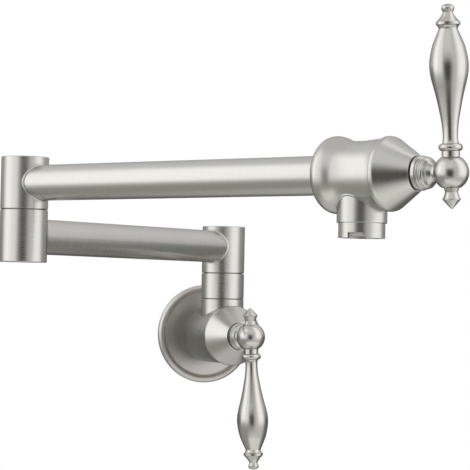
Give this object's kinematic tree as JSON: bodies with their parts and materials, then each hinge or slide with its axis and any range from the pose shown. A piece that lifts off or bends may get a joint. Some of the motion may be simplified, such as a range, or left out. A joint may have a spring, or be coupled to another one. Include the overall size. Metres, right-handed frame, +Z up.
{
  "type": "pot filler tap",
  "caption": "Wall mounted pot filler with a folding double-jointed arm, a valve at the wall and at the spout, conical bonnets and baluster lever handles in a brushed metal finish.",
  "frame": {"origin": "Where the inlet's axis meets the wall.", "axes": "+Z is up, +Y points into the wall along the inlet's axis, -Y points into the room, and +X is to the right for a person facing the wall."},
  "size_m": [0.2225, 0.4453, 0.2729],
  "materials": {
    "satin_metal": "brushed nickel plate on brass",
    "handle_metal": "brushed nickel plate on brass, a little smoother than the body",
    "bare_brass": "turned brass",
    "plate_steel": "plain steel",
    "seal_rubber": "matte black rubber",
    "black_plastic": "matte black plastic",
    "white_plastic": "matte white plastic",
    "ceramic": "ground ceramic"
  },
  "bodies": {
    "wall_body": {"wall_flange": "satin_metal", "flange_gasket": "seal_rubber", "mounting_plate": "plate_steel", "inlet_spigot": "bare_brass", "inlet_o_rings": "seal_rubber", "valve_body": "satin_metal", "body_screw": "plate_steel", "column_post": "bare_brass", "column_collar": "satin_metal", "column_washer": "black_plastic", "column_o_rings": "seal_rubber", "column_retainer": "bare_brass", "wall_bonnet": "satin_metal", "wall_glide_ring": "black_plastic", "wall_cartridge": "bare_brass", "wall_cartridge_disc": "ceramic", "wall_cartridge_seal": "seal_rubber"},
    "wall_handle": {"wall_handle_hub": "handle_metal", "wall_lever": "handle_metal", "wall_finial": "handle_metal", "wall_stem": "bare_brass", "wall_stem_disc": "ceramic", "wall_handle_screw": "plate_steel"},
    "lower_arm": {"column_sleeve": "satin_metal", "column_cap": "satin_metal", "lower_arm_tube": "satin_metal", "elbow_lower_sleeve": "satin_metal", "elbow_bottom_cap": "satin_metal", "elbow_post": "bare_brass", "elbow_washer": "black_plastic", "elbow_o_rings": "seal_rubber", "elbow_retainer": "bare_brass"},
    "upper_arm": {"elbow_upper_sleeve": "satin_metal", "elbow_top_cap": "satin_metal", "upper_arm_tube": "satin_metal", "spout_body": "satin_metal", "spout_nozzle": "satin_metal", "aerator_housing": "satin_metal", "aerator_insert": "white_plastic", "aerator_washer": "seal_rubber", "spout_bonnet": "satin_metal", "spout_glide_ring": "black_plastic", "spout_cartridge": "bare_brass", "spout_cartridge_disc": "ceramic", "spout_cartridge_seal": "seal_rubber"},
    "spout_handle": {"spout_handle_hub": "handle_metal", "spout_lever": "handle_metal", "spout_finial": "handle_metal", "spout_stem": "bare_brass", "spout_stem_disc": "ceramic", "spout_handle_screw": "plate_steel"}
  },
  "joints": [
    {"name": "lower_arm_swing", "type": "hinge", "parent": "wall_body", "child": "lower_arm", "pos_m": [0, -0.042, 0.0617], "axis": [0, 0, 1], "range_deg": [-35, 144]},
    {"name": "upper_arm_swing", "type": "hinge", "parent": "lower_arm", "child": "upper_arm", "pos_m": [-0.17259, -0.16511, 0.0946], "axis": [0, 0, 1], "continuous": true},
    {"name": "wall_handle_turn", "type": "hinge", "parent": "wall_body", "child": "wall_handle", "pos_m": [0, -0.064, 0], "axis": [0, -1, 0], "range_deg": [-2.5, 87.5]},
    {"name": "spout_handle_turn", "type": "hinge", "parent": "upper_arm", "child": "spout_handle", "pos_m": [-0.02552, -0.39866, 0.0946], "axis": [0.5329, -0.8462, 0], "range_deg": [-4, 86]}
  ]
}
